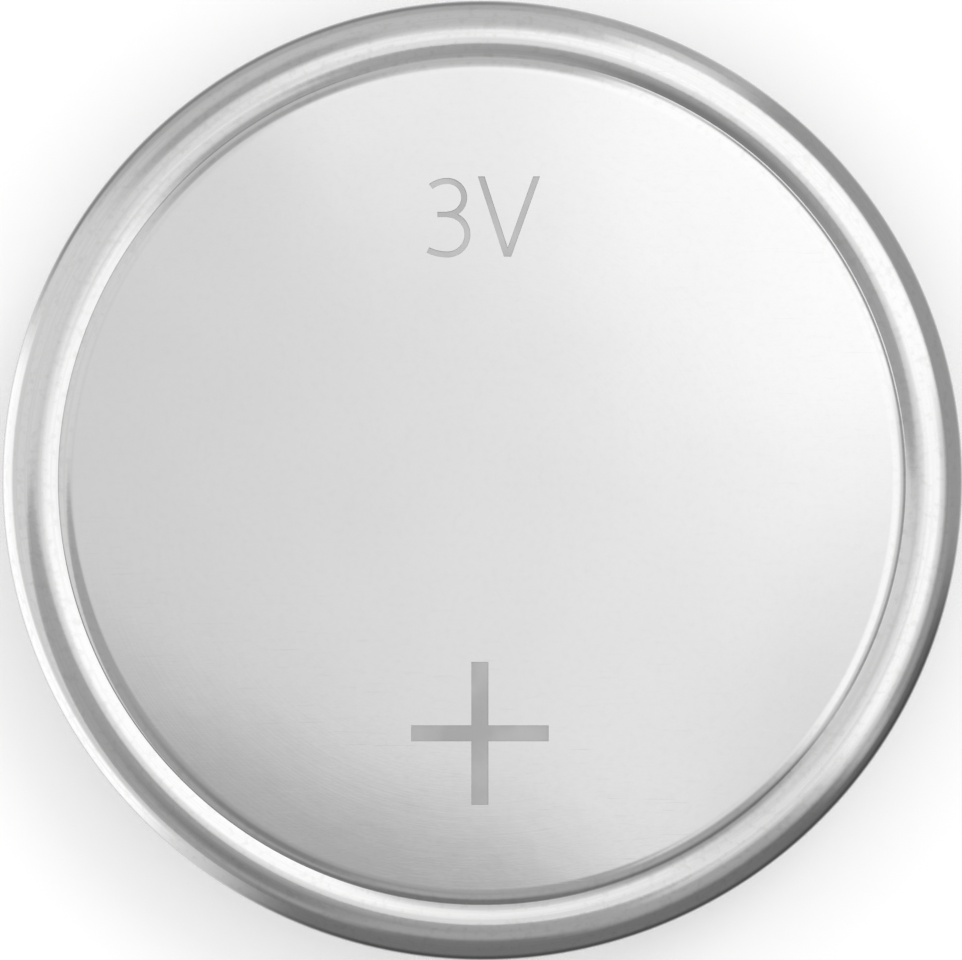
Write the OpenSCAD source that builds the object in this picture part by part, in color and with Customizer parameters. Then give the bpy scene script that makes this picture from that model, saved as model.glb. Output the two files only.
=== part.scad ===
// Lithium coin cell of the 20 mm size, in millimetres, with its positive face up.
// The origin is the middle of the negative contact face, which the cell stands on.
// Every piece but the collector grid is a section turned about Z, drawn as [radius, height].

/* [Cell] */
// Diameter over the side wall
cell_d = 20.0; // [16:0.1:24.5]
// Height from the negative contact face to the positive face
cell_h = 3.2; // [2.5:0.1:5.0]

/* [Positive can] */
// Thickness of the can's sheet
can_t = 0.25; // [0.2:0.01:0.3]
// Outer radius of the rounded rim
rim_r = 0.86; // [0.7:0.01:1.0]
// How far the crest of the rim lies below the positive face
rim_drop = 0.01; // [0:0.01:0.06]
// Slope of the rim where it falls to the groove round the face, in degrees
rim_slope = 28; // [22:1:34]
// Slope of the face's edge where it falls to the groove, in degrees
face_slope = 38; // [34:1:60]

/* [Crimp] */
// Outer radius of the bend at the crimp
crimp_r = 0.7; // [0.55:0.01:0.85]
// How far the crimp bends the side wall in, in degrees
crimp_turn = 78; // [70:1:88]
// How far the crimped lip reaches in from the side wall
crimp_w = 1.15; // [1.0:0.01:1.35]
// How far the negative contact face stands proud of the crimped lip
contact_proud = 0.12; // [0.1:0.01:0.2]

/* [Sealing gasket] */
// Thickness of the gasket between the can's wall and the cap's skirt
gasket_t = 0.3; // [0.22:0.01:0.36]
// Thickness of the gasket's foot, between the end of the skirt and the rim
foot_t = 0.55; // [0.4:0.01:0.7]
// How far above the separator the gasket's inner wall ends
inner_wall_gap = 0.55; // [0.3:0.01:0.65]
// How far the gasket shows past the crimped lip
gasket_show = 0.06; // [0.03:0.01:0.12]

/* [Negative cap] */
// Thickness of the cap's sheet
cap_t = 0.25; // [0.2:0.01:0.3]
// How much of the shoulder shows between the gasket and the step down to the contact face
shoulder_show = 0.35; // [0.1:0.01:1.0]
// Outer radius at the edge of the contact face
contact_edge_r = 0.4; // [0.32:0.01:0.5]
// Slope of the step between the contact face and the shoulder, in degrees
step_slope = 60; // [45:1:70]
// Radius at the foot of the step, where it runs out into the shoulder
step_root_r = 0.15; // [0.1:0.01:0.2]
// Outer radius of the bend between the shoulder and the skirt
shoulder_r = 0.45; // [0.35:0.01:0.55]

/* [Electrodes] */
// Thickness of the lithium disc, and so the height of the step that holds it
lithium_t = 0.6; // [0.5:0.01:0.75]
// Gap all round between the lithium disc and the edge of the contact face
lithium_gap = 0.1; // [0.05:0.01:0.3]
// Thickness of the separator
separator_t = 0.2; // [0.1:0.01:0.3]
// Gap all round between the separator and the bend of the shoulder
separator_gap = 0.1; // [0.05:0.01:0.3]
// Gap all round between the cathode pellet and the gasket's inner wall
pellet_gap = 0.9; // [0.6:0.01:1.2]
// Chamfer at both edges of the cathode pellet
pellet_chamfer = 0.12; // [0.05:0.01:0.2]

/* [Current collector] */
// Thickness of the collector grid
collector_t = 0.1; // [0.05:0.01:0.15]
// How far the edge of the collector lies inside the edge of the pellet
collector_inset = 1.0; // [0.5:0.1:2.0]
// Width of the collector's unpierced edge
collector_edge = 0.5; // [0.3:0.1:1.0]
// Length of one mesh of the grid, strand to strand
mesh_l = 2.4; // [2.0:0.1:3.0]
// Width of one mesh of the grid, strand to strand
mesh_w = 1.2; // [1.0:0.1:1.6]
// Width of a strand
strand_w = 0.28; // [0.2:0.01:0.4]

/* [Hidden] */
$fn = 128;
// Turn of the outline from one point of a bend to the next, in degrees
bend_step = 7.5;

cell_r = cell_d / 2;

// The rim, the groove inside it and the edge of the face, which meet at groove_p
groove_depth = rim_drop + rim_r * (1 - cos(rim_slope));
rim_c = [cell_r - rim_r, cell_h - rim_drop - rim_r];
groove_p = rim_c + rim_r * [-sin(rim_slope), cos(rim_slope)];
face_edge_r = groove_depth / (1 - cos(face_slope));
face_edge_c = [groove_p.x - face_edge_r * sin(face_slope), cell_h - face_edge_r];

// The sheet keeps its thickness under the groove, as a ridge inside the can
ridge_start = 180 + asin((can_t - groove_depth) / can_t);
ridge_end = 270 + rim_slope;
ridge_foot = groove_p + can_t * [cos(ridge_end), sin(ridge_end)];

// The crimp: a bend, then a straight lip whose outer corner is the can's lowest point
lip_dir = [-sin(crimp_turn), -cos(crimp_turn)];
lip_normal = [-cos(crimp_turn), sin(crimp_turn)];
lip_l = (crimp_w - crimp_r * (1 - cos(crimp_turn))) / sin(crimp_turn);
crimp_c = [cell_r - crimp_r, contact_proud + crimp_r * sin(crimp_turn) + lip_l * cos(crimp_turn)];
lip_outer = crimp_c - crimp_r * lip_normal + lip_l * lip_dir;
lip_inner = lip_outer + can_t * lip_normal;

// The cap's shoulder lies as high above its contact face as the lithium disc is thick
step_h = lithium_t;
skirt_r = cell_r - can_t - gasket_t;
skirt_top = cell_h - rim_drop - can_t - foot_t;
shoulder_c = [skirt_r - shoulder_r, step_h + shoulder_r];

// The gasket's end past the lip is a half round between the lip and the shoulder
gasket_tip = lip_inner + gasket_show * lip_dir;
gasket_end_r = (step_h - gasket_tip.y) / 2;

// The step lies just inside the gasket's end, and the contact face inside the step
step_l = (step_h - (contact_edge_r + step_root_r) * (1 - cos(step_slope))) / sin(step_slope);
step_w = (contact_edge_r + step_root_r) * sin(step_slope) + step_l * cos(step_slope);
step_root_c = [gasket_tip.x - gasket_end_r - shoulder_show, step_h - step_root_r];
contact_r = step_root_c.x - step_w;
contact_edge_c = [contact_r, contact_edge_r];

// The stack inside, from the contact face up
lithium_z = cap_t;
separator_z = lithium_z + lithium_t;
pellet_z = separator_z + separator_t;
collector_z = cell_h - can_t - collector_t;
lithium_r = contact_r - lithium_gap;
separator_r = shoulder_c.x - separator_gap;
pellet_r = ridge_foot.x - pellet_gap;
collector_r = pellet_r - collector_inset;

// Points along a bend about centre c, from angle a0 to angle a1
function bend(c, r, a0, a1) =
    let (steps = ceil(abs(a1 - a0) / bend_step))
    [for (i = [0:steps]) let (a = a0 + (a1 - a0) * i / steps) c + r * [cos(a), sin(a)]];

// A list without its first point, for a bend that starts where the last one ended
function rest(points) = [for (i = [1:len(points) - 1]) points[i]];

// A list from its last point to its first
function reversed(points) = [for (i = [len(points) - 1:-1:0]) points[i]];

// The can's outer line, from the middle of the face to the tip of the lip
can_outer = concat(
    [[0, cell_h]],
    bend(face_edge_c, face_edge_r, 90, 90 - face_slope),
    rest(bend(rim_c, rim_r, 90 + rim_slope, 0)),
    bend(crimp_c, crimp_r, 0, -crimp_turn),
    [lip_outer]);

// The can's inner line where the gasket lies against it, from the ridge to the tip of the lip
can_seal_line = concat(
    bend(rim_c, rim_r - can_t, 90 + rim_slope, 0),
    bend(crimp_c, crimp_r - can_t, 0, -crimp_turn),
    [lip_inner]);

// The can's whole inner line
can_inner = concat(
    [[0, cell_h - can_t]],
    bend(groove_p, can_t, ridge_start, ridge_end),
    rest(can_seal_line));

// The cap's line at the outside (off = 0) or the inside (off = cap_t), from the axis to the shoulder
function cap_face_line(off) = concat(
    [[0, off]],
    bend(contact_edge_c, contact_edge_r - off, -90, -90 + step_slope),
    bend(step_root_c, step_root_r + off, 90 + step_slope, 90));

// The cap's line round the bend of the shoulder and up the skirt
function cap_skirt_line(off) = concat(
    bend(shoulder_c, shoulder_r - off, -90, 0),
    [[skirt_r - off, skirt_top]]);

// The rhombus of one opening in the grid
module mesh_opening() {
    half_l = (mesh_l - strand_w * norm([mesh_l, mesh_w]) / mesh_w) / 2;
    half_w = half_l * mesh_w / mesh_l;
    polygon([[half_l, 0], [0, half_w], [-half_l, 0], [0, -half_w]]);
}

// The openings lie in staggered rows, and only whole ones that clear the edge are pierced
module mesh_openings() {
    reach = collector_r - collector_edge - mesh_l / 2;
    rows = ceil(2 * collector_r / mesh_w);
    columns = ceil(collector_r / mesh_l);
    for (row = [-rows:rows])
        for (column = [-columns:columns]) {
            shift = (row % 2 == 0) ? 0 : mesh_l / 2;
            middle = [column * mesh_l + shift, row * mesh_w / 2];
            if (norm(middle) <= reach)
                translate(middle) mesh_opening();
        }
}

module positive_can() {
    color("gainsboro")
        rotate_extrude()
            polygon(concat(can_outer, reversed(can_inner)));
}

module negative_cap() {
    color("silver")
        rotate_extrude()
            polygon(concat(
                cap_face_line(0), cap_skirt_line(0),
                reversed(cap_skirt_line(cap_t)), reversed(cap_face_line(cap_t))));
}

module sealing_gasket() {
    wall_end = pellet_z + inner_wall_gap;
    color("ivory")
        rotate_extrude()
            polygon(concat(
                can_seal_line,
                [gasket_tip],
                rest(bend([gasket_tip.x, gasket_tip.y + gasket_end_r], gasket_end_r, 270, 90)),
                cap_skirt_line(0),
                [[skirt_r - cap_t, skirt_top], [skirt_r - cap_t, wall_end], [ridge_foot.x, wall_end]]));
}

module lithium_anode() {
    color("lightgray")
        translate([0, 0, lithium_z])
            cylinder(r = lithium_r, h = lithium_t);
}

module separator() {
    color("white")
        translate([0, 0, separator_z])
            cylinder(r = separator_r, h = separator_t);
}

module cathode_pellet() {
    pellet_t = collector_z - pellet_z;
    color("dimgray")
        translate([0, 0, pellet_z])
            rotate_extrude()
                polygon([
                    [0, 0], [pellet_r - pellet_chamfer, 0], [pellet_r, pellet_chamfer],
                    [pellet_r, pellet_t - pellet_chamfer], [pellet_r - pellet_chamfer, pellet_t], [0, pellet_t]]);
}

module current_collector() {
    color("darkgray")
        translate([0, 0, collector_z])
            linear_extrude(collector_t)
                difference() {
                    circle(r = collector_r);
                    mesh_openings();
                }
}

positive_can();
negative_cap();
sealing_gasket();
lithium_anode();
separator();
cathode_pellet();
current_collector();
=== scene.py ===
"""A lithium coin cell of the 20 mm size, positive face up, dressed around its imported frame.

Sections are drawn in millimetres as (radius, height) and turned about Z. A finished mesh is
scaled to metres, where the frame is.
"""

import logging
import math
from collections.abc import Callable
from dataclasses import dataclass, fields
from enum import Enum

import bpy
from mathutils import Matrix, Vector


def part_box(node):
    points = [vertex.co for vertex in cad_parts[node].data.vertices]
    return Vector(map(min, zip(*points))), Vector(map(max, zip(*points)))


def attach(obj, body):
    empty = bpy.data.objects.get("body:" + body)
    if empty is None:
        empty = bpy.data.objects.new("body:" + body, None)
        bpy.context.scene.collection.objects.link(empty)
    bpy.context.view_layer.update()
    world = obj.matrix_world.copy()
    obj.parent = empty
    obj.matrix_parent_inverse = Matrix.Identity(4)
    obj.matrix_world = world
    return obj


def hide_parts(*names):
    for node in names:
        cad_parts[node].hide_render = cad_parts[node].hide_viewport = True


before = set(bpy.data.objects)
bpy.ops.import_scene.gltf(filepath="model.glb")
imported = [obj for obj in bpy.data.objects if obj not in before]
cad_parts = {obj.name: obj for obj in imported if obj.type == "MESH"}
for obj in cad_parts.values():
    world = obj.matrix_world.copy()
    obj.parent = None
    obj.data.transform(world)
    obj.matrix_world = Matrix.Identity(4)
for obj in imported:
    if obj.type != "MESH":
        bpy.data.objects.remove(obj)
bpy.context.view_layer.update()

LOG = logging.getLogger("coin_cell")
METRES_PER_MM = 0.001
# Turn of a section from one point of a bend to the next, in degrees
BEND_STEP = 3.0
# Steps of a section on its way round the axis
TURN_STEPS = 256
# How far from its ends a long straight gets its added points, in millimetres
SUPPORT_REACH = 0.03
# Straights up to this length, in millimetres, need no added points
SHORT_STRAIGHT = 4 * SUPPORT_REACH
# Edges that turn by less than this shade smooth
SMOOTH_BELOW = math.radians(30)
# Vertices nearer than this are one, in millimetres
MERGE_REACH = 1e-4
# How near to a corner of the section a vertex of its ring lies, in millimetres
RING_REACH = 1e-3
BEVEL_SEGMENTS = 3
# A face lies level where its unit normal rises or falls by at least this
LEVEL_NORMAL = 0.9

Point = tuple[float, float]
Band = tuple[float, float]
Colour = tuple[float, float, float]
Socket = bpy.types.NodeSocket


class Slot(Enum):
    """The record's material slots of the new pieces."""

    CAN = "can_steel"
    CAP = "cap_steel"
    GASKET = "gasket_plastic"


def unit(degrees: float) -> Vector:
    """Returns the unit vector at an angle in the plane of a section."""
    return Vector((math.cos(math.radians(degrees)), math.sin(math.radians(degrees))))


def bend(centre: Vector, radius: float, start: float, end: float) -> list[Point]:
    """Points along a bend of a section.

    Args:
        centre: The bend's centre.
        radius: Its radius.
        start: The angle it starts at, in degrees.
        end: The angle it ends at, in degrees.

    Returns:
        The points from start to end, both included.
    """
    steps = math.ceil(abs(end - start) / BEND_STEP)
    turns = [start + (end - start) * i / steps for i in range(steps + 1)]
    return [tuple(centre + radius * unit(turn)) for turn in turns]


def supported(points: list[Point]) -> list[Point]:
    """Adds a point just inside both ends of each long straight, so that it shades flat.

    Args:
        points: A section's points in order.

    Returns:
        The same line with the added points.
    """
    line = [points[0]]
    for last, here in zip(points, points[1:]):
        a, b = Vector(last), Vector(here)
        length = (b - a).length
        if length > SHORT_STRAIGHT:
            inset = (b - a) * (SUPPORT_REACH / length)
            line += [tuple(a + inset), tuple(b - inset)]
        line.append(here)
    return line


@dataclass(frozen=True)
class Sizes:
    """The cell's driving sizes in millimetres and degrees, as its source has them."""

    radius: float
    height: float
    sheet: float = 0.25
    rim_r: float = 0.86
    rim_drop: float = 0.01
    rim_slope: float = 28.0
    face_slope: float = 38.0
    crimp_r: float = 0.7
    crimp_turn: float = 78.0
    crimp_w: float = 1.15
    contact_proud: float = 0.12
    gasket_t: float = 0.3
    foot_t: float = 0.55
    inner_wall_gap: float = 0.55
    gasket_show: float = 0.06
    shoulder_show: float = 0.35
    contact_edge_r: float = 0.4
    step_slope: float = 60.0
    step_root_r: float = 0.15
    shoulder_r: float = 0.45
    lithium_t: float = 0.6
    separator_t: float = 0.2

    @classmethod
    def from_frame(cls) -> "Sizes":
        """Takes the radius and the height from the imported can."""
        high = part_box("positive_can")[1]
        return cls(radius=high[0] / METRES_PER_MM, height=high[2] / METRES_PER_MM)

    @property
    def groove_depth(self) -> float:
        """Depth of the groove below the face."""
        return self.rim_drop + self.rim_r * (1 - math.cos(math.radians(self.rim_slope)))

    @property
    def rim_c(self) -> Vector:
        """Centre of the rounded rim."""
        return Vector((self.radius - self.rim_r, self.height - self.rim_drop - self.rim_r))

    @property
    def groove(self) -> Vector:
        """Bottom of the groove."""
        return self.rim_c + self.rim_r * unit(90 + self.rim_slope)

    @property
    def face_edge_r(self) -> float:
        """Radius of the face's rounded edge."""
        return self.groove_depth / (1 - math.cos(math.radians(self.face_slope)))

    @property
    def face_edge_c(self) -> Vector:
        """Centre of the face's rounded edge, where the flat face ends."""
        reach = self.face_edge_r * math.sin(math.radians(self.face_slope))
        return Vector((self.groove.x - reach, self.height - self.face_edge_r))

    @property
    def ridge_foot(self) -> Vector:
        """Where the ridge under the groove meets the gasket."""
        return self.groove + self.sheet * unit(270 + self.rim_slope)

    @property
    def lip_dir(self) -> Vector:
        """Direction of the crimped lip, inwards."""
        return unit(270 - self.crimp_turn)

    @property
    def lip_normal(self) -> Vector:
        """Direction across the crimped lip, from its outside to its inside."""
        return unit(180 - self.crimp_turn)

    @property
    def lip_l(self) -> float:
        """Length of the lip's straight part."""
        turn = math.radians(self.crimp_turn)
        return (self.crimp_w - self.crimp_r * (1 - math.cos(turn))) / math.sin(turn)

    @property
    def crimp_c(self) -> Vector:
        """Centre of the bend at the crimp.

        Returns:
            The centre as (radius, height).
        """
        turn = math.radians(self.crimp_turn)
        drop = self.crimp_r * math.sin(turn) + self.lip_l * math.cos(turn)
        return Vector((self.radius - self.crimp_r, self.contact_proud + drop))

    @property
    def lip_outer(self) -> Vector:
        """Outer corner of the lip's end."""
        return self.crimp_c - self.crimp_r * self.lip_normal + self.lip_l * self.lip_dir

    @property
    def lip_inner(self) -> Vector:
        """Inner corner of the lip's end."""
        return self.lip_outer + self.sheet * self.lip_normal

    @property
    def gasket_tip(self) -> Vector:
        """Where the gasket past the lip turns back to the cap."""
        return self.lip_inner + self.gasket_show * self.lip_dir

    @property
    def gasket_end_r(self) -> float:
        """Radius of the gasket's end."""
        return (self.lithium_t - self.gasket_tip.y) / 2

    @property
    def skirt_r(self) -> float:
        """Outer radius of the cap's skirt."""
        return self.radius - self.sheet - self.gasket_t

    @property
    def skirt_top(self) -> float:
        """Height of the skirt's end."""
        return self.height - self.rim_drop - self.sheet - self.foot_t

    @property
    def wall_end(self) -> float:
        """Height at which the gasket's inner wall ends."""
        return self.sheet + self.lithium_t + self.separator_t + self.inner_wall_gap

    @property
    def shoulder_c(self) -> Vector:
        """Centre of the bend between shoulder and skirt."""
        return Vector((self.skirt_r - self.shoulder_r, self.lithium_t + self.shoulder_r))

    @property
    def step_root_c(self) -> Vector:
        """Centre of the bend at the foot of the cap's step."""
        reach = self.gasket_tip.x - self.gasket_end_r - self.shoulder_show
        return Vector((reach, self.lithium_t - self.step_root_r))

    @property
    def contact_edge_c(self) -> Vector:
        """Centre of the bend at the edge of the contact face.

        Returns:
            The centre as (radius, height).
        """
        slope = math.radians(self.step_slope)
        bends = self.contact_edge_r + self.step_root_r
        straight = (self.lithium_t - bends * (1 - math.cos(slope))) / math.sin(slope)
        width = bends * math.sin(slope) + straight * math.cos(slope)
        return Vector((self.step_root_c.x - width, self.contact_edge_r))

    def seal_line(self) -> list[Point]:
        """The can's inside where the gasket lies against it.

        Returns:
            The points from the groove's ridge to the end of the lip.
        """
        return [
            *bend(self.rim_c, self.rim_r - self.sheet, 90 + self.rim_slope, 0),
            *bend(self.crimp_c, self.crimp_r - self.sheet, 0, -self.crimp_turn),
            tuple(self.lip_inner),
        ]

    def cap_line(self, off: float) -> list[Point]:
        """One side of the cap's sheet.

        Args:
            off: 0 for the outside, the sheet's thickness for the inside.

        Returns:
            The points from the axis to the skirt's end.
        """
        return [
            (0.0, off),
            *bend(self.contact_edge_c, self.contact_edge_r - off, -90, self.step_slope - 90),
            *bend(self.step_root_c, self.step_root_r + off, 90 + self.step_slope, 90),
            *bend(self.shoulder_c, self.shoulder_r - off, -90, 0),
            (self.skirt_r - off, self.skirt_top),
        ]


class Shaper:
    """Models one piece in edit mode, in millimetres, and finishes it in metres."""

    def __init__(self, name: str) -> None:
        """Starts a piece.

        Args:
            name: The finished object's name.
        """
        self.name = name
        self.body: bpy.types.Object | None = None

    def trace(self, points: list[Point], closed: bool) -> None:
        """Draws a section in the XZ plane by extruding one vertex after another.

        Args:
            points: The section's points as (radius, height).
            closed: Whether the last point is joined to the first.
        """
        bpy.ops.object.select_all(action="DESELECT")
        bpy.ops.mesh.primitive_plane_add(size=1, location=(0, 0, 0))
        self.body = bpy.context.object
        self.body.name = self.name
        bpy.ops.object.mode_set(mode="EDIT")
        bpy.ops.mesh.select_mode(type="VERT")
        bpy.ops.mesh.select_all(action="SELECT")
        bpy.ops.mesh.merge(type="CENTER")
        bpy.ops.transform.translate(value=(points[0][0], 0, points[0][1]))
        for last, here in zip(points, points[1:]):
            step = (here[0] - last[0], 0, here[1] - last[1])
            bpy.ops.mesh.extrude_region_move(TRANSFORM_OT_translate={"value": step})
        bpy.ops.object.mode_set(mode="OBJECT")
        if closed:
            ends = [Vector((r, 0, z)) for r, z in (points[0], points[-1])]
            self.pick_points(lambda p: min((p - end).length for end in ends) < MERGE_REACH)
            bpy.ops.mesh.edge_face_add()
            bpy.ops.object.mode_set(mode="OBJECT")

    def turn(self) -> None:
        """Spins the traced section all round the axis and closes the seam."""
        bpy.ops.object.mode_set(mode="EDIT")
        bpy.ops.mesh.select_all(action="SELECT")
        bpy.ops.mesh.spin(steps=TURN_STEPS, angle=2 * math.pi, center=(0, 0, 0), axis=(0, 0, 1))
        bpy.ops.mesh.select_all(action="SELECT")
        bpy.ops.mesh.remove_doubles(threshold=MERGE_REACH)
        bpy.ops.mesh.normals_make_consistent(inside=False)
        bpy.ops.object.mode_set(mode="OBJECT")

    def pick_points(self, wanted: Callable[[Vector], bool]) -> None:
        """Selects vertices by their place and opens edit mode.

        Args:
            wanted: Says of a vertex's place whether it is selected.
        """
        bpy.ops.object.mode_set(mode="EDIT")
        bpy.ops.mesh.select_mode(type="VERT")
        bpy.ops.mesh.select_all(action="DESELECT")
        bpy.ops.object.mode_set(mode="OBJECT")
        for vertex in self.body.data.vertices:
            vertex.select = wanted(vertex.co)
        bpy.ops.object.mode_set(mode="EDIT")

    def pick_faces(self, wanted: Callable[[Vector, Vector], bool]) -> None:
        """Selects faces by their centre and normal and opens edit mode.

        Args:
            wanted: Says of a face's centre and normal whether it is selected.
        """
        bpy.ops.object.mode_set(mode="EDIT")
        bpy.ops.mesh.select_mode(type="FACE")
        bpy.ops.mesh.select_all(action="DESELECT")
        bpy.ops.object.mode_set(mode="OBJECT")
        for face in self.body.data.polygons:
            face.select = wanted(face.center, face.normal)
        bpy.ops.object.mode_set(mode="EDIT")

    def soften_rings(self, corners: list[Point], width: float) -> None:
        """Bevels the sharp rings that the section's corners leave.

        Args:
            corners: The corners as (radius, height).
            width: The bevel's width.
        """
        for radius, height in corners:
            place = Vector((radius, height))
            self.pick_points(lambda p: (Vector((p.xy.length, p.z)) - place).length < RING_REACH)
            bpy.ops.mesh.select_mode(type="EDGE")
            bpy.ops.mesh.bevel(offset=width, segments=BEVEL_SEGMENTS, affect="EDGES")
            bpy.ops.object.mode_set(mode="OBJECT")

    def carve(self, cutters: list[bpy.types.Object]) -> None:
        """Cuts solids out of the piece and deletes them.

        Args:
            cutters: Closed solids in millimetres.
        """
        for cutter in cutters:
            cut = self.body.modifiers.new("cut", "BOOLEAN")
            cut.operation = "DIFFERENCE"
            cut.solver = "EXACT"
            cut.object = cutter
            bpy.context.view_layer.objects.active = self.body
            bpy.ops.object.modifier_apply(modifier=cut.name)
            bpy.data.objects.remove(cutter)

    def finish(self) -> bpy.types.Object:
        """Shades the piece and scales its mesh to metres, with its object at the origin.

        Returns:
            The finished piece.
        """
        bpy.ops.object.select_all(action="DESELECT")
        self.body.select_set(True)
        bpy.context.view_layer.objects.active = self.body
        bpy.ops.object.shade_smooth_by_angle(angle=SMOOTH_BELOW)
        self.body.scale = (METRES_PER_MM,) * 3
        bpy.ops.object.transform_apply(location=True, rotation=True, scale=True)
        return self.body


class Tree:
    """Adds and joins the nodes of one material."""

    def __init__(self, name: str) -> None:
        """Starts a material with an empty tree.

        Args:
            name: The material's name.
        """
        self.material = bpy.data.materials.new(name)
        self.material.use_nodes = True
        self.nodes = self.material.node_tree.nodes
        self.links = self.material.node_tree.links
        self.nodes.clear()
        self.output = self.nodes.new("ShaderNodeOutputMaterial")

    def add(self, kind: str, inputs: dict[str | int, object] | None = None,
            **settings: object) -> bpy.types.Node:
        """Adds a node.

        Args:
            kind: The node's type without its ShaderNode prefix.
            inputs: Values or sockets by input name or number.
            **settings: The node's own settings.

        Returns:
            The node.
        """
        node = self.nodes.new("ShaderNode" + kind)
        for key, value in settings.items():
            setattr(node, key, value)
        for key, value in (inputs or {}).items():
            if isinstance(value, Socket):
                self.links.new(value, node.inputs[key])
            else:
                node.inputs[key].default_value = value
        return node

    def math(self, operation: str, *values: Socket | float) -> Socket:
        """Adds a Math node and returns its result."""
        return self.add("Math", dict(enumerate(values)), operation=operation).outputs[0]

    def ramp(self, fac: Socket, low: float, high: float) -> Socket:
        """Maps a value through a smooth ramp from black to white.

        Args:
            fac: The value.
            low: Where the ramp is black.
            high: Where it is white.

        Returns:
            The grey level.
        """
        node = self.add("ValToRGB", {0: fac})
        node.color_ramp.interpolation = "EASE"
        black, white = node.color_ramp.elements
        black.position, white.position = low, high
        return node.outputs[0]

    def mix(self, fac: Socket, low: Socket | Colour, high: Socket | Colour) -> Socket:
        """Mixes two colours.

        Args:
            fac: The share of the second colour.
            low: The first colour.
            high: The second colour.

        Returns:
            The mixed colour.
        """
        node = self.add("Mix", {0: fac}, data_type="RGBA")
        # The colours are inputs 6 and 7 and output 2 of this node
        for key, colour in ((6, low), (7, high)):
            if isinstance(colour, Socket):
                self.links.new(colour, node.inputs[key])
            else:
                node.inputs[key].default_value = (*colour, 1)
        return node.outputs[2]

    def level(self, fac: Socket, low: float, high: float) -> Socket:
        """Maps a value from 0..1 to low..high."""
        return self.add("MapRange", {"Value": fac, "To Min": low, "To Max": high}).outputs[0]

    def place(self) -> Socket:
        """The place on the piece, in metres."""
        return self.add("TexCoord").outputs["Object"]

    def flat_place(self) -> Socket:
        """The place on the piece without its height."""
        return self.add("VectorMath", {0: self.place(), 1: (1, 1, 0)}, operation="MULTIPLY").outputs[0]

    def noise(self, vector: Socket, size_mm: float, detail: float = 3.0) -> Socket:
        """Noise whose features are about as large as the size given, from a place in metres."""
        scale = 1 / (size_mm * METRES_PER_MM)
        return self.add("TexNoise", {"Vector": vector, "Scale": scale, "Detail": detail}).outputs[0]

    def cells(self, size_mm: float, feature: str = "F1") -> Socket:
        """Distance from the middles of scattered cells about as large as the size given."""
        inputs = {"Vector": self.place(), "Scale": 1 / (size_mm * METRES_PER_MM)}
        return self.add("TexVoronoi", inputs, feature=feature).outputs["Distance"]

    def stretched(self, vector: Socket, along: float, turn: float = 0.0) -> Socket:
        """Scales a place along X, so that a pattern on it stretches.

        Args:
            vector: The place.
            along: Its scale along X.
            turn: How far it is turned about the axis after that, in degrees.

        Returns:
            The scaled and turned place.
        """
        rotation = (0, 0, math.radians(turn))
        inputs = {"Vector": vector, "Rotation": rotation, "Scale": (along, 1.0, 1.0)}
        return self.add("Mapping", inputs).outputs[0]

    def turned_lines(self, size_mm: float, run: float) -> Socket:
        """Fine lines that run round the axis, as drawing or turning leaves them.

        Args:
            size_mm: Spacing of the lines.
            run: How often the lines change on their way round.

        Returns:
            A value of about 0 to 1.
        """
        flat = self.flat_place()
        radius = self.add("VectorMath", {0: flat}, operation="LENGTH").outputs["Value"]
        course = self.add("VectorMath", {0: flat}, operation="NORMALIZE").outputs[0]
        way = self.add("SeparateXYZ", {0: course})
        height = self.add("SeparateXYZ", {0: self.place()}).outputs[2]
        scale = 1 / (size_mm * METRES_PER_MM)
        spot = self.add("CombineXYZ", {
            0: self.math("MULTIPLY", radius, scale),
            1: self.math("MULTIPLY", height, scale),
            2: self.math("MULTIPLY", way.outputs[0], run)})
        lines = self.add("TexNoise", {
            "Vector": spot.outputs[0], "W": self.math("MULTIPLY", way.outputs[1], run),
            "Scale": 1.0, "Detail": 3.0}, noise_dimensions="4D")
        return lines.outputs[0]

    def radius(self) -> Socket:
        """Distance from the axis in millimetres."""
        length = self.add("VectorMath", {0: self.flat_place()}, operation="LENGTH").outputs["Value"]
        return self.math("MULTIPLY", length, 1 / METRES_PER_MM)

    def bump(self, height: Socket, depth_mm: float, under: Socket | None = None) -> Socket:
        """Raises the surface by a pattern.

        Args:
            height: The pattern.
            depth_mm: How far a value of 1 raises the surface.
            under: The normal of a pattern that lies under this one.

        Returns:
            The normal.
        """
        inputs = {"Height": height, "Distance": depth_mm * METRES_PER_MM}
        if under is not None:
            inputs["Normal"] = under
        return self.add("Bump", inputs).outputs[0]

    def surface(self, colour: Socket, roughness: Socket, normal: Socket,
                **constants: float) -> bpy.types.Material:
        """Closes the tree with a Principled shader.

        Args:
            colour: The base colour.
            roughness: The roughness.
            normal: The normal.
            **constants: Other inputs by name, with _ for a space.

        Returns:
            The finished material.
        """
        inputs = {"Base Color": colour, "Roughness": roughness, "Normal": normal}
        shader = self.add("BsdfPrincipled", inputs)
        for name, value in constants.items():
            shader.inputs[name.replace("_", " ")].default_value = value
        self.links.new(shader.outputs[0], self.output.inputs[0])
        return self.material


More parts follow.
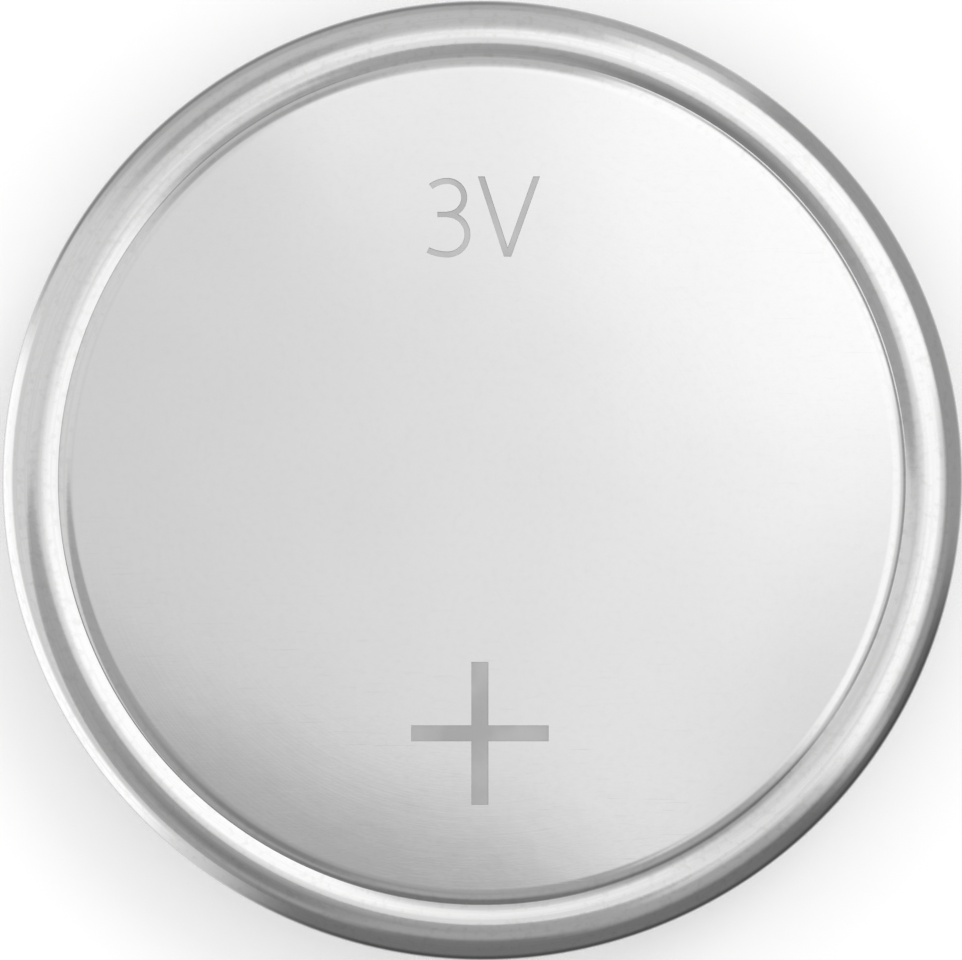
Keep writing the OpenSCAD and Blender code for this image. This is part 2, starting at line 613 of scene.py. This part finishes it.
@dataclass(frozen=True)
class PlatedSteel:
    """Nickel-plated sheet: satin where it is flat, brighter and streaked where it was drawn.

    Here and in the other finishes, sizes and depths are in millimetres and turns in degrees.
    A band holds the pattern's values at which an effect starts and is full. The tint and the
    share of the pits hold their strength on the flat face and on the drawn metal.
    """

    name: str
    tone: Colour
    cloud_tone: Colour
    streak_tone: Colour
    mark_tone: Colour
    mark_sheen: Colour
    flat_r: float
    flat_roughness: float
    drawn_roughness: float
    blend_w: float = 0.2
    mark_roughness: float = 0.42
    sheen_size: float = 1.1
    sheen_band: Band = (0.35, 0.7)
    wave_size: float = 2.5
    wave_depth: float = 0.004
    grain_size: float = 0.03
    grain_stretch: float = 0.25
    grain_depth: float = 0.00012
    grain_roughness: float = 0.08
    pit_size: float = 0.16
    pit_band: Band = (0.45, 0.72)
    pit_tint: Band = (0.1, 0.55)
    pit_share: Band = (0.15, 1.0)
    pit_depth: float = 0.0006
    line_size: float = 0.05
    line_run: float = 1.5
    line_band: Band = (0.42, 0.66)
    line_tint: float = 0.36
    line_depth: float = 0.0002
    scuff_size: float = 0.03
    scuff_stretch: float = 0.03
    scuff_turns: tuple[float, ...] = (24, 117)
    scuff_band: Band = (0.66, 0.76)
    scuff_roughness: float = 0.10
    pebble_size: float = 0.2
    pebble_depth: float = 0.0

    def scuffs(self, tree: Tree) -> Socket:
        """Sparse hairlines from handling, in two directions.

        Args:
            tree: The finish's tree.

        Returns:
            1 on a hairline and 0 beside it.
        """
        layers = []
        for turn in self.scuff_turns:
            laid = tree.stretched(tree.place(), self.scuff_stretch, turn)
            lines = tree.noise(laid, self.scuff_size, detail=2.0)
            layers.append(tree.ramp(lines, *self.scuff_band))
        return tree.math("MAXIMUM", *layers)

    def material(self) -> bpy.types.Material:
        """Builds the finish.

        Returns:
            The material.
        """
        tree = Tree(self.name)
        place = tree.place()
        clouds = tree.noise(place, self.wave_size)
        grain = tree.noise(tree.stretched(place, self.grain_stretch), self.grain_size, detail=4.0)
        mottle = tree.noise(place, self.pit_size, detail=5.0)
        lines = tree.turned_lines(self.line_size, self.line_run)
        # 0 on the flat face and 1 where the sheet was drawn
        drawn = tree.add("MapRange", {
            "Value": tree.radius(), "From Min": self.flat_r,
            "From Max": self.flat_r + self.blend_w}).outputs[0]
        marked = tree.add("Attribute", attribute_name="marked").outputs["Fac"]

        plain = tree.mix(clouds, self.tone, self.cloud_tone)
        streaks = tree.math("MULTIPLY", tree.ramp(lines, *self.line_band), drawn)
        specks = tree.math(
            "MULTIPLY", tree.ramp(mottle, *self.pit_band), tree.level(drawn, *self.pit_tint))
        worn = tree.math("MAXIMUM", tree.math("MULTIPLY", streaks, self.line_tint), specks)
        aged = tree.mix(worn, plain, self.streak_tone)
        # Inside the marks, soft clouds mix their tone with the lighter mark_sheen: a painted sheen
        sheen = tree.ramp(tree.noise(place, self.sheen_size), *self.sheen_band)
        colour = tree.mix(marked, aged, tree.mix(sheen, self.mark_tone, self.mark_sheen))

        even = tree.level(drawn, self.flat_roughness, self.drawn_roughness)
        off_middle = tree.math("SUBTRACT", grain, 0.5)
        uneven = tree.math("MULTIPLY_ADD", off_middle, self.grain_roughness, even)
        scuffed = tree.math("MULTIPLY_ADD", self.scuffs(tree), self.scuff_roughness, uneven)
        roughness = tree.math("MAXIMUM", scuffed, tree.math("MULTIPLY", marked, self.mark_roughness))

        pits = tree.math("MULTIPLY", mottle, tree.level(drawn, *self.pit_share))
        waved = tree.bump(clouds, self.wave_depth)
        rolled = tree.bump(grain, self.grain_depth, waved)
        pitted = tree.bump(pits, self.pit_depth, rolled)
        normal = tree.bump(lines, self.line_depth, pitted)
        if self.pebble_depth:
            pebbles = tree.cells(self.pebble_size, "SMOOTH_F1")
            flat = tree.math("SUBTRACT", 1.0, drawn)
            normal = tree.bump(tree.math("MULTIPLY", pebbles, flat), self.pebble_depth, normal)
        return tree.surface(colour, roughness, normal, Metallic=1.0)


@dataclass(frozen=True)
class GasketPlastic:
    """Moulded natural polypropylene."""

    name: str = "natural_polymer"
    tone: Colour = (0.62, 0.60, 0.54)
    deep_tone: Colour = (0.50, 0.48, 0.43)
    cloud_size: float = 0.6
    grain_size: float = 0.02
    grain_depth: float = 0.0008
    roughness: Band = (0.38, 0.52)

    def material(self) -> bpy.types.Material:
        """Builds the finish.

        Returns:
            The material.
        """
        tree = Tree(self.name)
        place = tree.place()
        grain = tree.noise(place, self.grain_size)
        colour = tree.mix(tree.noise(place, self.cloud_size), self.tone, self.deep_tone)
        roughness = tree.level(grain, *self.roughness)
        return tree.surface(colour, roughness, tree.bump(grain, self.grain_depth),
                            Subsurface_Weight=0.25, Subsurface_Scale=0.0003)


@dataclass(frozen=True)
class RolledLithium:
    """Soft rolled metal with a dull skin."""

    name: str = "rolled_lithium"
    tone: Colour = (0.52, 0.52, 0.53)
    skin_tone: Colour = (0.33, 0.33, 0.36)
    skin_size: float = 1.2
    skin_band: Band = (0.35, 0.7)
    line_size: float = 0.06
    line_stretch: float = 0.05
    line_depth: float = 0.003
    roughness: Band = (0.42, 0.7)

    def material(self) -> bpy.types.Material:
        """Builds the finish.

        Returns:
            The material.
        """
        tree = Tree(self.name)
        place = tree.place()
        skin = tree.ramp(tree.noise(place, self.skin_size, detail=5.0), *self.skin_band)
        lines = tree.noise(tree.stretched(place, self.line_stretch), self.line_size)
        colour = tree.mix(skin, self.tone, self.skin_tone)
        roughness = tree.level(skin, *self.roughness)
        return tree.surface(colour, roughness, tree.bump(lines, self.line_depth), Metallic=0.9)


@dataclass(frozen=True)
class Fleece:
    """Non-woven plastic fibres laid every way."""

    name: str = "fibre_fleece"
    tone: Colour = (0.84, 0.84, 0.82)
    gap_tone: Colour = (0.62, 0.62, 0.61)
    fibre_turns: tuple[float, float, float] = (10, 70, 130)
    fibre_size: float = 0.04
    fibre_stretch: float = 0.08
    fibre_band: Band = (0.5, 0.68)
    fibre_depth: float = 0.02
    roughness: Band = (0.95, 0.8)

    def material(self) -> bpy.types.Material:
        """Builds the finish.

        Returns:
            The material.
        """
        tree = Tree(self.name)
        place = tree.place()
        first, second, third = (
            tree.noise(tree.stretched(place, self.fibre_stretch, turn), self.fibre_size)
            for turn in self.fibre_turns)
        fibres = tree.math("MAXIMUM", tree.math("MAXIMUM", first, second), third)
        colour = tree.mix(tree.ramp(fibres, *self.fibre_band), self.gap_tone, self.tone)
        roughness = tree.level(fibres, *self.roughness)
        return tree.surface(colour, roughness, tree.bump(fibres, self.fibre_depth))


@dataclass(frozen=True)
class PressedPowder:
    """Black pressed powder with fine bright grains."""

    name: str = "pressed_powder"
    tone: Colour = (0.035, 0.035, 0.038)
    grain_tone: Colour = (0.11, 0.11, 0.12)
    speckle_size: float = 0.08
    speckle_band: Band = (0.5, 0.75)
    grain_size: float = 0.05
    grain_depth: float = 0.01
    roughness: Band = (0.75, 0.95)

    def material(self) -> bpy.types.Material:
        """Builds the finish.

        Returns:
            The material.
        """
        tree = Tree(self.name)
        fine = tree.noise(tree.place(), self.speckle_size, detail=5.0)
        colour = tree.mix(tree.ramp(fine, *self.speckle_band), self.tone, self.grain_tone)
        roughness = tree.level(fine, *self.roughness)
        normal = tree.bump(tree.cells(self.grain_size), self.grain_depth)
        return tree.surface(colour, roughness, normal)


@dataclass(frozen=True)
class GridSteel:
    """Plain expanded steel with drawn strands."""

    name: str = "drawn_strands"
    tone: Colour = (0.50, 0.50, 0.51)
    dull_tone: Colour = (0.36, 0.36, 0.37)
    cloud_size: float = 0.5
    line_size: float = 0.03
    line_stretch: float = 0.15
    line_depth: float = 0.002
    roughness: Band = (0.3, 0.5)

    def material(self) -> bpy.types.Material:
        """Builds the finish.

        Returns:
            The material.
        """
        tree = Tree(self.name)
        place = tree.place()
        clouds = tree.noise(place, self.cloud_size, detail=4.0)
        lines = tree.noise(tree.stretched(place, self.line_stretch), self.line_size)
        colour = tree.mix(clouds, self.tone, self.dull_tone)
        roughness = tree.level(clouds, *self.roughness)
        return tree.surface(colour, roughness, tree.bump(lines, self.line_depth), Metallic=1.0)


@dataclass(frozen=True)
class Marks:
    """The marks pressed into the positive face: a plus sign and the voltage, in plain strokes.

    Lengths are in millimetres and turns in degrees. The solid that cuts a stroke reaches depth
    into the face and stands above it, and from the face to the floor it narrows by draft.
    """

    face_z: float
    depth: float = 0.02
    draft: float = 0.012
    above: float = 0.05
    plus_c: Point = (-0.05, -5.19)
    plus_w: float = 2.85
    plus_h: float = 2.96
    across_w: float = 0.354
    upright_w: float = 0.376
    stroke_w: float = 0.15
    three_x: float = -0.717
    upper_y: float = 5.81
    upper_r: float = 0.344
    lower_y: float = 5.054
    lower_r: float = 0.411
    high_tail_r: float = 0.57
    high_tail_turn: float = 37.0
    low_tail_r: float = 0.90
    low_tail_turn: float = 26.5
    middle_l: float = 0.3
    middle_w: float = 0.135
    vee_x: float = 0.518
    vee_low_y: float = 4.585
    vee_high_y: float = 6.26
    vee_left: float = 0.545
    vee_right: float = 0.60
    leg_w: float = 0.167
    middle_shift: float = 0.08
    overlap_turn: float = 2.0
    arc_steps: int = 40

    @property
    def solid_h(self) -> float:
        """Height of a stroke's solid."""
        return self.above + self.depth

    @property
    def draw_in(self) -> float:
        """How much narrower than its top a stroke's floor is, both sides together."""
        return self.draft / self.depth * self.solid_h

    def bar(self, centre: Point, length: float, width: float, lean: float = 0.0) -> bpy.types.Object:
        """A straight stroke as a solid that narrows towards its floor.

        Args:
            centre: The stroke's middle on the face.
            length: Its length along Y.
            width: Its width along X.
            lean: How far its upper end is moved along X against its lower one.

        Returns:
            The solid.
        """
        bpy.ops.object.select_all(action="DESELECT")
        middle_z = self.face_z + (self.above - self.depth) / 2
        bpy.ops.mesh.primitive_cube_add(size=1, location=(*centre, middle_z))
        solid = bpy.context.object
        solid.scale = (width, length, self.solid_h)
        bpy.ops.object.transform_apply(location=False, rotation=False, scale=True)
        self.narrow_floor(solid, width, length)
        for vertex in solid.data.vertices:
            vertex.co.x += lean * vertex.co.y / length
        return solid

    def narrow_floor(self, solid: bpy.types.Object, width: float, length: float) -> None:
        """Draws in the floor of a straight stroke, so that its walls slope.

        Args:
            solid: The stroke's solid.
            width: Its width.
            length: Its length.
        """
        bpy.ops.object.mode_set(mode="EDIT")
        bpy.ops.mesh.select_all(action="DESELECT")
        bpy.ops.object.mode_set(mode="OBJECT")
        for face in solid.data.polygons:
            face.select = face.normal.z < -LEVEL_NORMAL
        bpy.ops.object.mode_set(mode="EDIT")
        ratio = ((width - self.draw_in) / width, (length - self.draw_in) / length, 1)
        bpy.ops.transform.resize(value=ratio, center_override=solid.location)
        bpy.ops.object.mode_set(mode="OBJECT")

    def bowl(self, centre: Point, radius: float, start: float, end: float) -> bpy.types.Object:
        """A curved stroke, spun about the middle of its bowl.

        Args:
            centre: The bowl's middle on the face.
            radius: The radius of the stroke's middle line.
            start: The angle it starts at, in degrees.
            end: The angle it ends at, in degrees.

        Returns:
            The solid.
        """
        bpy.ops.object.select_all(action="DESELECT")
        upright = (math.pi / 2, 0, 0)
        bpy.ops.mesh.primitive_plane_add(size=1, location=(radius, 0, 0), rotation=upright)
        solid = bpy.context.object
        solid.scale = (self.stroke_w, self.solid_h, 1)
        bpy.ops.object.transform_apply(location=True, rotation=True, scale=True)
        for vertex in solid.data.vertices:
            if vertex.co.z < 0:
                vertex.co.x += math.copysign(self.draw_in / 2, radius - vertex.co.x)
        bpy.ops.object.mode_set(mode="EDIT")
        bpy.ops.mesh.select_all(action="SELECT")
        # With no window this operator turns the other way
        bpy.ops.transform.rotate(
            value=-math.radians(start), orient_axis="Z", center_override=(0, 0, 0))
        bpy.ops.mesh.spin(
            steps=self.arc_steps, angle=math.radians(start - end), center=(0, 0, 0), axis=(0, 0, 1))
        bpy.ops.mesh.select_all(action="SELECT")
        bpy.ops.mesh.remove_doubles(threshold=MERGE_REACH)
        bpy.ops.mesh.fill_holes(sides=4)
        bpy.ops.mesh.normals_make_consistent(inside=False)
        bpy.ops.object.mode_set(mode="OBJECT")
        solid.location = (*centre, self.face_z + (self.above - self.depth) / 2)
        return solid

    def plus(self) -> list[bpy.types.Object]:
        """The plus sign: two bars that cross.

        Returns:
            The strokes' solids.
        """
        return [
            self.bar(self.plus_c, self.plus_h, self.upright_w),
            self.bar(self.plus_c, self.across_w, self.plus_w),
        ]

    def three(self) -> list[bpy.types.Object]:
        """The figure: two bowls, each with a flatter tail, and a short middle bar.

        Returns:
            The strokes' solids, which overlap where they join.
        """
        x, top, bottom = self.three_x, 90, -90
        high_tail_y = self.upper_y + self.upper_r - self.high_tail_r
        low_tail_y = self.lower_y - self.lower_r + self.low_tail_r
        middle = (x - self.middle_l / 2 + self.middle_shift, self.lower_y + self.lower_r)
        high_tail = (top + self.high_tail_turn, top - self.overlap_turn)
        low_tail = (bottom + self.overlap_turn, bottom - self.low_tail_turn)
        return [
            self.bowl((x, self.upper_y), self.upper_r, top + self.overlap_turn, bottom),
            self.bowl((x, high_tail_y), self.high_tail_r, *high_tail),
            self.bowl((x, self.lower_y), self.lower_r, top, bottom - self.overlap_turn),
            self.bowl((x, low_tail_y), self.low_tail_r, *low_tail),
            self.bar(middle, self.middle_w, self.middle_l),
        ]

    def vee(self) -> list[bpy.types.Object]:
        """The letter: two legs that lean against each other.

        Returns:
            The strokes' solids.
        """
        y = (self.vee_low_y + self.vee_high_y) / 2
        height = self.vee_high_y - self.vee_low_y
        return [
            self.bar((self.vee_x + lean / 2, y), height, self.leg_w, lean)
            for lean in (-self.vee_left, self.vee_right)
        ]

    def strokes(self) -> list[bpy.types.Object]:
        """All the strokes as cutting solids."""
        return self.plus() + self.three() + self.vee()


@dataclass(frozen=True)
class PositiveCan:
    """The steel cup: face, groove, rim, side wall and crimped lip, from one sheet."""

    sizes: Sizes
    corner: float = 0.015
    finish: PlatedSteel = PlatedSteel(
        name="plated_can", tone=(0.80, 0.80, 0.80), cloud_tone=(0.76, 0.76, 0.76),
        streak_tone=(0.66, 0.655, 0.65), mark_tone=(0.53, 0.53, 0.53),
        mark_sheen=(0.62, 0.62, 0.62), flat_r=8.40, flat_roughness=0.10, drawn_roughness=0.12)

    def section(self) -> list[Point]:
        """The section, open at the axis.

        Returns:
            The points from the middle of the face round to the middle of its underside.
        """
        s = self.sizes
        ridge_start = 180 + math.degrees(math.asin((s.sheet - s.groove_depth) / s.sheet))
        outside = [
            (0.0, s.height),
            *bend(s.face_edge_c, s.face_edge_r, 90, 90 - s.face_slope),
            *bend(s.rim_c, s.rim_r, 90 + s.rim_slope, 0)[1:],
            *bend(s.crimp_c, s.crimp_r, 0, -s.crimp_turn),
            tuple(s.lip_outer),
        ]
        inside = [
            (0.0, s.height - s.sheet),
            *bend(s.groove, s.sheet, ridge_start, 270 + s.rim_slope),
            *s.seal_line()[1:],
        ]
        return supported(outside + inside[::-1])

    def build(self) -> bpy.types.Object:
        """Turns the section, softens its corners and presses the marks in.

        Returns:
            The finished piece.
        """
        s = self.sizes
        shaper = Shaper("can_shell")
        shaper.trace(self.section(), closed=False)
        shaper.turn()
        shaper.soften_rings([tuple(s.lip_outer), tuple(s.lip_inner)], self.corner)
        flat_r = s.face_edge_c.x - SUPPORT_REACH
        shaper.pick_faces(
            lambda centre, normal: normal.z > LEVEL_NORMAL
            and abs(centre.z - s.height) < MERGE_REACH
            and centre.xy.length < flat_r)
        bpy.ops.mesh.dissolve_faces()
        bpy.ops.object.mode_set(mode="OBJECT")
        marks = Marks(s.height)
        shaper.carve(marks.strokes())
        self.note_marks(shaper.body, marks, flat_r)
        body = shaper.finish()
        body.data.materials.clear()
        body.data.materials.append(self.finish.material())
        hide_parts("positive_can")
        return body

    @staticmethod
    def note_marks(body: bpy.types.Object, marks: Marks, flat_r: float) -> None:
        """Notes on each face whether it belongs to a mark.

        Args:
            body: The cup, still in millimetres.
            marks: The marks pressed into it.
            flat_r: The radius within which they lie.
        """
        marked = body.data.attributes.new("marked", "FLOAT", "FACE")
        lowest, highest = marks.face_z - 2 * marks.depth, marks.face_z - MERGE_REACH
        for face, value in zip(body.data.polygons, marked.data):
            sunk = lowest < face.center.z < highest
            value.value = float(sunk and face.center.xy.length < flat_r)


@dataclass(frozen=True)
class SealingGasket:
    """The moulded ring between the can and the cap."""

    sizes: Sizes
    corner: float = 0.02
    finish: GasketPlastic = GasketPlastic()

    def section(self) -> list[Point]:
        """The closed section.

        Returns:
            The points along the can and back along the cap.
        """
        s = self.sizes
        end_c = Vector((s.gasket_tip.x, s.gasket_tip.y + s.gasket_end_r))
        skirt_in = s.skirt_r - s.sheet
        return supported([
            *s.seal_line(),
            *bend(end_c, s.gasket_end_r, 270, 90),
            *bend(s.shoulder_c, s.shoulder_r, -90, 0),
            (s.skirt_r, s.skirt_top),
            (skirt_in, s.skirt_top),
            (skirt_in, s.wall_end),
            (s.ridge_foot.x, s.wall_end),
        ])

    def build(self) -> bpy.types.Object:
        """Turns the section and softens the end of the inner wall.

        Returns:
            The finished piece.
        """
        s = self.sizes
        shaper = Shaper("gasket_ring")
        shaper.trace(self.section(), closed=True)
        shaper.turn()
        shaper.soften_rings([(s.ridge_foot.x, s.wall_end)], self.corner)
        body = shaper.finish()
        body.data.materials.append(self.finish.material())
        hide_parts("sealing_gasket")
        return body


@dataclass(frozen=True)
class NegativeCap:
    """The steel hat: contact face, step, shoulder and skirt, from one sheet."""

    sizes: Sizes
    corner: float = 0.02
    finish: PlatedSteel = PlatedSteel(
        name="plated_cap", tone=(0.76, 0.755, 0.75), cloud_tone=(0.71, 0.705, 0.70),
        streak_tone=(0.60, 0.595, 0.585), mark_tone=(0.5, 0.5, 0.5),
        mark_sheen=(0.6, 0.6, 0.6), flat_r=7.4, flat_roughness=0.22,
        drawn_roughness=0.16, pebble_depth=0.013)

    def section(self) -> list[Point]:
        """The section, open at the axis, out along its outside and back along its inside."""
        return supported(self.sizes.cap_line(0.0) + self.sizes.cap_line(self.sizes.sheet)[::-1])

    def build(self) -> bpy.types.Object:
        """Turns the section and softens the skirt's cut edge.

        Returns:
            The finished piece.
        """
        s = self.sizes
        shaper = Shaper("cap_shell")
        shaper.trace(self.section(), closed=False)
        shaper.turn()
        edge = [(s.skirt_r, s.skirt_top), (s.skirt_r - s.sheet, s.skirt_top)]
        shaper.soften_rings(edge, self.corner)
        body = shaper.finish()
        body.data.materials.append(self.finish.material())
        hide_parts("negative_cap")
        return body


@dataclass(frozen=True)
class Electrodes:
    """The pieces sealed inside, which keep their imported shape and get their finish."""

    lithium_anode: RolledLithium = RolledLithium()
    separator: Fleece = Fleece()
    cathode_pellet: PressedPowder = PressedPowder()
    current_collector: GridSteel = GridSteel()

    def dress(self) -> None:
        """Gives each inner piece the material of the field that has its name."""
        for field in fields(self):
            name, finish = field.name, getattr(self, field.name)
            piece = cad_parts[name]
            piece.data.materials.clear()
            piece.data.materials.append(finish.material())
            LOG.info("%s dressed as %s", name, finish.name)


def smooth(share: float) -> float:
    """Rises smoothly from 0 to 1 while its argument does."""
    t = min(max(share, 0.0), 1.0)
    return t * t * (3 - 2 * t)


def heading(azimuth: float, elevation: float) -> Vector:
    """The unit vector of a direction.

    Args:
        azimuth: In degrees from +X towards +Y.
        elevation: In degrees above the horizon.

    Returns:
        The vector.
    """
    turn, rise = math.radians(azimuth), math.radians(elevation)
    flat = math.cos(rise)
    return Vector((flat * math.cos(turn), flat * math.sin(turn), math.sin(rise)))


@dataclass(frozen=True)
class Panel:
    """One soft-edged panel round the cell, by the directions that it covers, in degrees."""

    level: float
    azimuth: float
    half_width: float
    lowest: float
    highest: float
    softness: float = 14.0

    def cover(self, azimuth: float, elevation: float) -> float:
        """How far the panel covers a direction.

        Args:
            azimuth: In degrees from +X towards +Y.
            elevation: In degrees above the horizon.

        Returns:
            A share from 0 to 1.
        """
        across = self.half_width - abs((azimuth - self.azimuth + 180) % 360 - 180)
        up = min(elevation - self.lowest, self.highest - elevation)
        return smooth(0.5 + across / self.softness) * smooth(0.5 + up / self.softness)


@dataclass(frozen=True)
class RoundPanel:
    """One soft-edged round panel, by the direction of its middle, in degrees."""

    level: float
    azimuth: float
    elevation: float
    radius: float
    softness: float

    def cover(self, azimuth: float, elevation: float) -> float:
        """How far the panel covers a direction.

        Args:
            azimuth: In degrees from +X towards +Y.
            elevation: In degrees above the horizon.

        Returns:
            A share from 0 to 1.
        """
        away = heading(azimuth, elevation).angle(heading(self.azimuth, self.elevation))
        return smooth(0.5 + (self.radius - math.degrees(away)) / self.softness)


@dataclass(frozen=True)
class Studio:
    """Floor, tent, lamp and camera. Its own lengths are in metres."""

    lens_mm: float = 100.0
    sensor_mm: float = 36.0
    image_w: int = 962
    # Radius of the cell's outline in the picture, and its middle right of and above the picture's
    object_px: float = 480.6
    off_centre_px: Point = (1.3, -0.6)
    # Share of the rim's radius by which the outline lies above the rim's centre
    outline_rise: float = 0.17
    clip_start: float = 0.001
    clip_end: float = 10.0
    floor_r: float = 0.5
    floor_sides: int = 128
    opening_r: float = 0.0077
    lamp_place: tuple[float, float, float] = (0.12, 0.16, 0.22)
    lamp_w: float = 0.12
    lamp_power: float = 0.10
    world_level: float = 1.0
    tent_r: float = 0.3
    tent_segments: int = 180
    tent_rings: int = 120
    tent_level: float = 0.80
    # The overhead part: its level, how much that rises on one side, and where
    overhead_level: float = 0.93
    overhead_tilt: float = 0.22
    overhead_azimuth: float = 5.0
    # How far from straight up the rise takes, and where the part begins and is full, in degrees
    overhead_reach: float = 15.0
    overhead_lowest: float = 65.0
    overhead_blend: float = 15.0
    # Each panel covers those before it
    panels: tuple[Panel | RoundPanel, ...] = (
        RoundPanel(level=0.86, azimuth=330, elevation=60, radius=21.4, softness=2.5),
        Panel(level=1.06, azimuth=95, half_width=24, lowest=61, highest=83, softness=10),
        Panel(level=0.62, azimuth=106, half_width=34, lowest=-90, highest=50, softness=20),
        Panel(level=0.50, azimuth=100, half_width=44, lowest=-90, highest=-2),
        Panel(level=0.28, azimuth=120, half_width=36, lowest=-90, highest=-26, softness=16),
        Panel(level=0.38, azimuth=12, half_width=44, lowest=-90, highest=26, softness=12),
        RoundPanel(level=1.26, azimuth=35, elevation=60, radius=22, softness=14),
        Panel(level=1.26, azimuth=41, half_width=31, lowest=26, highest=82, softness=11),
        Panel(level=1.20, azimuth=346, half_width=24, lowest=41, highest=73, softness=16),
        Panel(level=0.45, azimuth=122, half_width=16, lowest=30, highest=54),
        RoundPanel(level=0.44, azimuth=236, elevation=47, radius=34.1, softness=2.5),
        RoundPanel(level=0.44, azimuth=258, elevation=68, radius=13.4, softness=3),
        RoundPanel(level=0.26, azimuth=243, elevation=52, radius=14, softness=20),
        Panel(level=0.44, azimuth=284, half_width=32, lowest=-90, highest=60, softness=16),
        Panel(level=1.25, azimuth=195, half_width=32, lowest=-80, highest=0, softness=10),
        Panel(level=0.20, azimuth=281, half_width=42, lowest=-90, highest=27, softness=18),
        Panel(level=0.22, azimuth=268, half_width=14, lowest=16, highest=37),
        Panel(level=0.16, azimuth=330, half_width=18, lowest=-90, highest=-2, softness=20),
        Panel(level=0.08, azimuth=295, half_width=48, lowest=-90, highest=-26, softness=22),
        RoundPanel(level=0.70, azimuth=0, elevation=-90, radius=38, softness=24),
    )

    def floor(self) -> None:
        """A plain pale floor, open under the cell and towards a camera below it."""
        bpy.ops.object.select_all(action="DESELECT")
        bpy.ops.mesh.primitive_circle_add(
            vertices=self.floor_sides, radius=self.floor_r, fill_type="NGON")
        floor = bpy.context.object
        floor.name = "studio_floor"
        bpy.ops.object.mode_set(mode="EDIT")
        bpy.ops.mesh.select_mode(type="FACE")
        bpy.ops.mesh.select_all(action="SELECT")
        bpy.ops.mesh.inset(thickness=self.floor_r - self.opening_r)
        bpy.ops.mesh.delete(type="FACE")
        bpy.ops.object.mode_set(mode="OBJECT")
        tree = Tree("studio_floor")
        pale = tree.add("BsdfDiffuse", {"Color": (1.0, 1.0, 1.0, 1)})
        clear = tree.add("BsdfTransparent")
        below = tree.add("NewGeometry").outputs["Backfacing"]
        shader = tree.add("MixShader", {0: below, 1: pale.outputs[0], 2: clear.outputs[0]})
        tree.links.new(shader.outputs[0], tree.output.inputs[0])
        floor.data.materials.append(tree.material)
        floor.visible_glossy = False
        floor.visible_diffuse = False

    def level(self, azimuth: float, elevation: float) -> float:
        """The brightness round the cell in a direction.

        Args:
            azimuth: In degrees from +X towards +Y.
            elevation: In degrees above the horizon.

        Returns:
            The level, where 1 is white.
        """
        turn = math.radians(azimuth - self.overhead_azimuth)
        out = min((90 - elevation) / self.overhead_reach, 1.0)
        overhead = self.overhead_level + self.overhead_tilt * out * math.cos(turn)
        blend = smooth((elevation - self.overhead_lowest) / self.overhead_blend)
        level = self.tent_level + (overhead - self.tent_level) * blend
        for panel in self.panels:
            level += (panel.level - level) * panel.cover(azimuth, elevation)
        return level

    def tent(self) -> None:
        """A tent of soft panels all round, which only the metal's reflections see."""
        bpy.ops.object.select_all(action="DESELECT")
        bpy.ops.mesh.primitive_uv_sphere_add(
            segments=self.tent_segments, ring_count=self.tent_rings, radius=self.tent_r)
        screen = bpy.context.object
        screen.name = "studio_tent"
        values = screen.data.attributes.new("level", "FLOAT", "POINT")
        for vertex, value in zip(screen.data.vertices, values.data):
            azimuth = math.degrees(math.atan2(vertex.co.y, vertex.co.x))
            elevation = math.degrees(math.asin(vertex.co.normalized().z))
            value.value = self.level(azimuth, elevation)
        tree = Tree(screen.name)
        glow = tree.add("Attribute", attribute_name="level").outputs["Fac"]
        shader = tree.add("Emission", {"Strength": glow})
        tree.links.new(shader.outputs[0], tree.output.inputs[0])
        tree.material.cycles.emission_sampling = "NONE"
        screen.data.materials.append(tree.material)
        screen.visible_camera = False
        screen.visible_diffuse = False
        screen.visible_shadow = False
        screen.visible_transmission = False

    def light(self) -> None:
        """An even pale world and one soft lamp that gives the shadow its side."""
        world = bpy.data.worlds.new("studio_world")
        bpy.context.scene.world = world
        world.use_nodes = True
        background = world.node_tree.nodes["Background"]
        background.inputs[0].default_value = (1, 1, 1, 1)
        background.inputs[1].default_value = self.world_level
        bpy.ops.object.light_add(type="AREA", location=self.lamp_place)
        lamp = bpy.context.object
        lamp.name = "studio_lamp"
        lamp.data.shape = "DISK"
        lamp.data.size = self.lamp_w
        lamp.data.energy = self.lamp_power
        lamp.rotation_euler = Vector(lamp.location).to_track_quat("Z", "Y").to_euler()
        lamp.visible_glossy = False
        lamp.visible_camera = False

    def camera(self, sizes: Sizes) -> None:
        """A camera straight above the face, framed on the rim as the photograph is.

        Args:
            sizes: The cell's sizes.
        """
        focal_px = self.lens_mm / self.sensor_mm * self.image_w
        rim_z = sizes.rim_c.y + sizes.rim_r * self.outline_rise
        height = rim_z + focal_px * sizes.radius / self.object_px
        aside = Vector(self.off_centre_px) * (-sizes.radius / self.object_px)
        place = Vector((aside.x, aside.y, height)) * METRES_PER_MM
        bpy.ops.object.camera_add(location=place, rotation=(0, 0, 0))
        camera = bpy.context.object
        camera.name = "studio_camera"
        camera.data.lens = self.lens_mm
        camera.data.sensor_width = self.sensor_mm
        camera.data.clip_start = self.clip_start
        camera.data.clip_end = self.clip_end
        bpy.context.scene.camera = camera

    def build(self, sizes: Sizes) -> None:
        """Sets up the whole studio.

        Args:
            sizes: The cell's sizes.
        """
        self.floor()
        self.tent()
        self.light()
        self.camera(sizes)
        bpy.context.scene.view_settings.view_transform = "Standard"


def main() -> None:
    """Builds the dressed pieces, then the studio round them."""
    logging.basicConfig(level=logging.INFO, format="%(message)s")
    sizes = Sizes.from_frame()
    for part in (PositiveCan(sizes), SealingGasket(sizes), NegativeCap(sizes)):
        body = part.build()
        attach(body, "root")
        LOG.info("%s has %d faces", body.name, len(body.data.polygons))
    Electrodes().dress()
    Studio().build(sizes)


if __name__ == "__main__":
    main()
